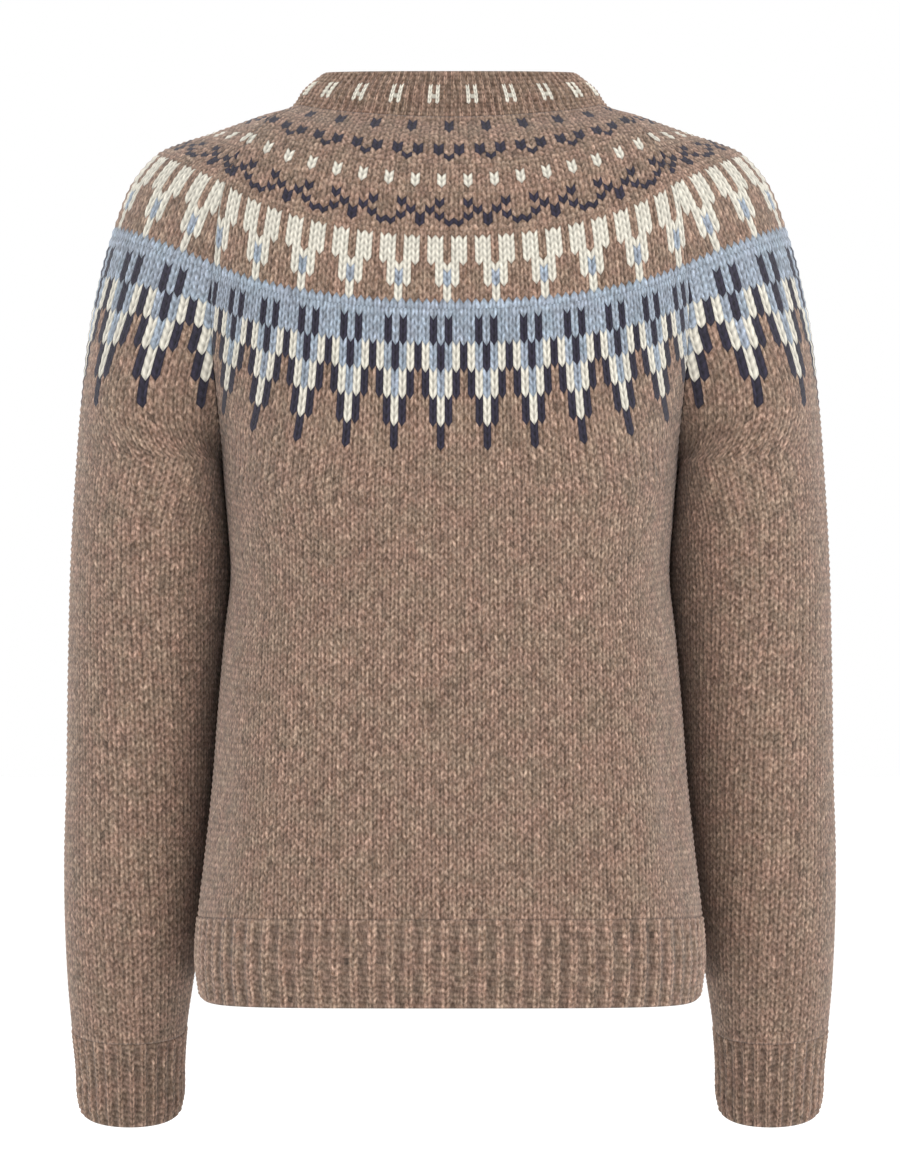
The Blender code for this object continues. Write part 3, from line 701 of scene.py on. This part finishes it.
sleeve_mesh = knit("knit_sleeve_left", sleeve_cloth,
                   panel_sections(SLEEVE_YOKE, SLEEVE_BELOW, (), CUFF_RIB, SLEEVE_PHASES),
                   end_at(-1), end_at(1), closed_from=UNDERARM, seed=3)
for side, mesh in (("left", sleeve_mesh), ("right", turned_over(sleeve_mesh, "knit_sleeve_right"))):
    sleeve = seat("knit_sleeve_" + side, mesh, STOCKING, "heather_wool", "sleeve_" + side)

# ------------------------------------------------------------------------ Hem ribs
# Ribs of one knit and one purl column, worked down from the three body panels. Knit columns stand up,
# purl columns lie back between them.

RIBBED = wool("ribbed_wool")
HEM_CREST = 1.1             # how far a knit column stands up


def ribs(start, end, half, phase=0.5, chart=("bb",)):
    """The one section of a ribbed piece, with as many stitches in every row."""
    return ((start, end, ((start, half), (end, half)), (), phase, chart),)


hem_mesh = knit("rib_hem_back", back_cloth, ribs(HEM_RIB + TOUCH, HEM, 40),
                flat_edge(back_cloth, -1), flat_edge(back_cloth, 1), seed=4, rib=HEM_CREST)
hem = seat("rib_hem_back", hem_mesh, RIBBED, "rib_wool", "hem_back")
side_mesh = knit("rib_hem_left", front_cloth, ribs(HEM_RIB + TOUCH, HEM, 38),
                 flat_edge(front_cloth, -1), band_seam, seed=5, rib=HEM_CREST)
for side, mesh in (("left", side_mesh), ("right", turned_over(side_mesh, "rib_hem_right"))):
    hem = seat("rib_hem_" + side, mesh, RIBBED, "rib_wool", "hem_" + side)

# --------------------------------------------------------------------------- Cuffs
# Narrower ribs of the same wool, worked down from the sleeves and closed to a ring round each wrist. They
# lean a little, as the sleeves do.

CUFF_CREST = 0.9
cuff_mesh = knit("rib_cuff_left", sleeve_cloth, ribs(CUFF_RIB + TOUCH, CUFF, 30),
                 end_at(-1), end_at(1), closed_from=CUFF_RIB, seed=6, rib=CUFF_CREST)
for side, mesh in (("left", cuff_mesh), ("right", turned_over(cuff_mesh, "rib_cuff_right"))):
    cuff = seat("rib_cuff_" + side, mesh, RIBBED, "rib_wool", "cuff_" + side)

# ------------------------------------------------------------------------ Neckband
# A narrow rib of the same wool, worked up from the neck seam with a ring of small cream marks. It is open
# at the front, where it ends at the front bands.

NECK_TOP = -8
NECK_ROWS = 10              # its own rows, finer than the body's
NECK_PARTS = 40             # steps along each panel's share of the neck
NECK_HALF = 98.75           # stitches in half the band
NECK_PHASE = 3.25
NECK_CREST = 0.6
GROUND, POSTS, TIE = "b" * 10, "cbc" + "b" * 7, "ccc" + "b" * 7
NECK_CHART = (GROUND,) * 3 + (POSTS, POSTS, TIE, POSTS) + (GROUND,) * 3


def neck_ring(row):
    """From the right front band (-1) over the back (0) to the left one (1)."""
    row = row * NECK_TOP / -NECK_ROWS
    fine = np.linspace(0, 1, NECK_PARTS + 1)
    half = np.concatenate([body_half(BACK, row, 1, fine)[0], sleeve_half(BACK, row, 1, fine)[0],
                           sleeve_half(FRONT, row, -1, fine)[0][::-1],
                           body_half(FRONT, row, -1, fine)[0][::-1]])
    length = np.concatenate([[0], np.cumsum(np.linalg.norm(np.diff(half, axis=0), axis=1))])
    end = length[-1] - BAND_SEAM - SEAM_GAP
    places = np.linspace(-end, end, 2 * RING_PARTS + 1)
    points = np.stack([np.interp(np.abs(places), length, half[:, axis]) for axis in range(3)], axis=1)
    points[:, 0] *= np.sign(places)
    return points, end


neck_cloth = cloth(neck_ring, -NECK_ROWS, 0)
neck_mesh = knit("rib_neckband", neck_cloth, ribs(-NECK_ROWS, -TOUCH, NECK_HALF, NECK_PHASE, NECK_CHART),
                 end_at(-1), end_at(1), seed=7, rib=NECK_CREST)
neckband = seat("rib_neckband", neck_mesh, RIBBED, "rib_wool", "neckband")

# --------------------------------------------------------------------- Front bands
# Two ribbed strips of the same wool, sewn on along the centre front from the hem to the top of the
# neckband. The buttonhole band, on the wearer's right, lies over the button band.

BAND_EDGE = 12.5            # from the centre front to a band's free edge
BAND_STEP = 3.5             # past its seam, a band reaches its full lift over this width
BAND_LIFT = 1.75            # of the buttonhole band
BAND_DROP = 2.5             # of the button band under it
BAND_PARTS = 30             # steps across a band
BAND_HALF = 4               # stitches in half of it
BAND_CREST = 0.35


def band_ring(row):
    """Across the left band, from the front's seam (-1) past the centre front to its free edge (1)."""
    reach = np.linspace(BAND_SEAM, -BAND_EDGE, BAND_PARTS + 1)
    length = body_half(FRONT, row, -1, np.array((0.0, 1.0)))[1]
    points = body_half(FRONT, row, -1, np.abs(reach) / length)[0]
    points[:, 0] *= np.sign(reach)
    return points, (BAND_SEAM + BAND_EDGE) / 2


def band_cloth(offset):
    """The band's surface, stepped off the front's own past the seam."""
    surface = cloth(band_ring, NECK_TOP, HEM)
    share = np.clip(np.linspace(0, BAND_SEAM + BAND_EDGE, BAND_PARTS + 1) / BAND_STEP, 0, 1)
    step = share * share * (3 - 2 * share) * offset
    surface["points"] = surface["points"] + surface["out"] * step[None, :, None]
    return surface


under_mesh = knit("rib_button_band", band_cloth(-BAND_DROP), ribs(NECK_TOP, HEM, BAND_HALF),
                  end_at(-1), end_at(1), seed=8, rib=BAND_CREST)
left_over = knit("rib_left_over", band_cloth(BAND_LIFT), ribs(NECK_TOP, HEM, BAND_HALF),
                 end_at(-1), end_at(1), seed=9, rib=BAND_CREST)
over_mesh = turned_over(left_over, "rib_buttonhole_band")
for name, mesh, node in (("rib_button_band", under_mesh, "button_band"),
                         ("rib_buttonhole_band", over_mesh, "buttonhole_band")):
    band = seat(name, mesh, RIBBED, "rib_wool", node)

# ------------------------------------------------------------------------- Buttons
# Seven turned buttons of polished dark horn, each with a dished face and a raised rim. A button sits on
# the middle of the buttonhole band, and its shank goes through the slit to the button band.

BUTTON_RADIUS = 10.0
BUTTON_THICKNESS = 4.0
# Half a button's outline, from the middle of its face over the rim to its back, as shares of those two
BUTTON_OUTLINE = ((0, 0.42), (0.50, 0.44), (0.66, 0.58), (0.75, 0.88), (0.84, 1.0), (0.92, 0.93),
                  (0.985, 0.68), (1.0, 0.45), (0.97, 0.18), (0.90, 0.02), (0.84, 0))
BUTTON_TURNS = 40           # steps of a button's spin
BUTTON_MERGE = 0.001        # points this close are one
SHANK_RADIUS = 1.0
SHANK_LENGTH = BAND_LIFT + BAND_DROP
BUTTON_COUNT = 7
BUTTON_TOP_Z = -27.0
BUTTON_BOTTOM_Z = -562.0
BUTTON_SEAT = BAND_LIFT + HEIGHT_ON_ROW[1] + BAND_CREST + SEAM_GAP   # off the front's cloth
HEIGHT_PARTS = 600          # steps in which the centre front is measured for the buttons' rows


def horn():
    """Polished horn: dark brown with pale drifting streaks."""
    made, shader = finish("dark_horn", {"Roughness": 0.22, "Specular IOR Level": 0.4,
                                        "Coat Weight": 0.15, "Coat Roughness": 0.08})
    nodes, links = made.node_tree.nodes, made.node_tree.links
    where = nodes.new("ShaderNodeTexCoord")
    streaks = nodes.new("ShaderNodeTexNoise")
    streaks.inputs["Scale"].default_value = 110
    streaks.inputs["Detail"].default_value = 5
    streaks.inputs["Distortion"].default_value = 1.6
    colours = nodes.new("ShaderNodeValToRGB")
    dark, pale = colours.color_ramp.elements
    dark.position, dark.color = 0.35, (0.014, 0.0075, 0.0045, 1)
    pale.position, pale.color = 0.75, (0.105, 0.052, 0.024, 1)
    links.new(where.outputs["Object"], streaks.inputs["Vector"])
    links.new(streaks.outputs["Fac"], colours.inputs["Fac"])
    links.new(colours.outputs["Color"], shader.inputs["Base Color"])
    return made


HORN = horn()
rows = np.linspace(NECK_TOP, HEM, HEIGHT_PARTS)
heights = np.array([row_of(FRONT, BACK_COLUMNS, row)["mid_z"] for row in rows])
button_rows = np.interp(-np.linspace(BUTTON_TOP_Z, BUTTON_BOTTOM_Z, BUTTON_COUNT), -heights, rows)
flat_band = cloth(band_ring, NECK_TOP, HEM)
for number, row in enumerate(button_rows, start=1):
    point, out = on_cloth(flat_band, np.array([row]), np.array([0.0]))
    point, out = Vector(point[0] * (-1, 1, 1)), Vector(out[0] * (-1, 1, 1))
    shape = bmesh.new()
    line = [shape.verts.new((x * BUTTON_RADIUS, 0, z * BUTTON_THICKNESS)) for x, z in BUTTON_OUTLINE]
    line += [shape.verts.new((x, 0, z)) for x, z in ((SHANK_RADIUS, 0), (SHANK_RADIUS, -SHANK_LENGTH),
                                                     (0, -SHANK_LENGTH))]
    edges = [shape.edges.new(pair) for pair in zip(line, line[1:])]
    bmesh.ops.spin(shape, geom=line + edges, axis=(0, 0, 1), cent=(0, 0, 0), steps=BUTTON_TURNS,
                   angle=2 * math.pi, use_merge=True)
    bmesh.ops.remove_doubles(shape, verts=shape.verts[:], dist=BUTTON_MERGE)
    bmesh.ops.recalc_face_normals(shape, faces=shape.faces[:])
    turn = out.to_track_quat("Z", "Y").to_matrix().to_4x4()
    onto = Matrix.Scale(MM, 4) @ Matrix.Translation(point + out * BUTTON_SEAT) @ turn
    bmesh.ops.transform(shape, matrix=onto, verts=shape.verts[:])
    mesh = bpy.data.meshes.new("horn_button_%d" % number)
    shape.to_mesh(mesh)
    shape.free()
    mesh.shade_smooth()
    seat("horn_button_%d" % number, mesh, HORN, "button_horn", "button_%d" % number)

# ---------------------------------------------------------------- Floor and light
# A pale floor below the garment and even white light all round, so that it hangs before plain white, and
# two soft lamps that bring out the stitches. These are in metres.

FLOOR_Z = -0.72
FLOOR_REACH = 20
shape = bmesh.new()
bmesh.ops.create_grid(shape, x_segments=1, y_segments=1, size=FLOOR_REACH)
bmesh.ops.translate(shape, verts=shape.verts[:], vec=(0, 0, FLOOR_Z))
floor_mesh = bpy.data.meshes.new("floor")
shape.to_mesh(floor_mesh)
shape.free()
floor = bpy.data.objects.new("floor", floor_mesh)
bpy.context.scene.collection.objects.link(floor)
floor_mesh.materials.append(finish("pale_floor", {
    "Base Color": (0.97, 0.97, 0.965, 1), "Roughness": 0.9,
    "Emission Color": (1, 1, 1, 1), "Emission Strength": 0.12})[0])

world = bpy.data.worlds.new("studio")
bpy.context.scene.world = world
world.use_nodes = True
white = world.node_tree.nodes["Background"].inputs
white["Color"].default_value = (1, 1, 1, 1)
white["Strength"].default_value = 1.0
LAMP_AIM = Vector((0, 0, -0.3))


def lamp(name, place, size, power):
    """A square lamp that points at the garment's middle."""
    light = bpy.data.lights.new(name, "AREA")
    light.size, light.energy = size, power
    made = bpy.data.objects.new(name, light)
    bpy.context.scene.collection.objects.link(made)
    made.location = place
    made.rotation_euler = (LAMP_AIM - Vector(place)).to_track_quat("-Z", "Y").to_euler()


lamp("key", (-1.3, 2.6, 1.6), 1.2, 26)
lamp("far_side", (1.5, -2.4, 1.2), 1.6, 18)

# -------------------------------------------------------------------------- Camera
# The camera is behind the garment, level with its middle and square to its back. It is far off, so that
# near and far rows show at one size.

CAMERA_Y = 9.0
CAMERA_Z = -0.3168
FRAME_HEIGHT = 0.776        # of the picture, at the garment
SENSOR = 36
camera = bpy.data.cameras.new("camera")
camera.sensor_width = SENSOR
camera.lens = SENSOR * CAMERA_Y / FRAME_HEIGHT
view = bpy.data.objects.new("camera", camera)
bpy.context.scene.collection.objects.link(view)
view.location = (0, CAMERA_Y, CAMERA_Z)
view.rotation_euler = (math.radians(90), 0, math.radians(180))
bpy.context.scene.camera = view
bpy.context.scene.view_settings.view_transform = "Standard"
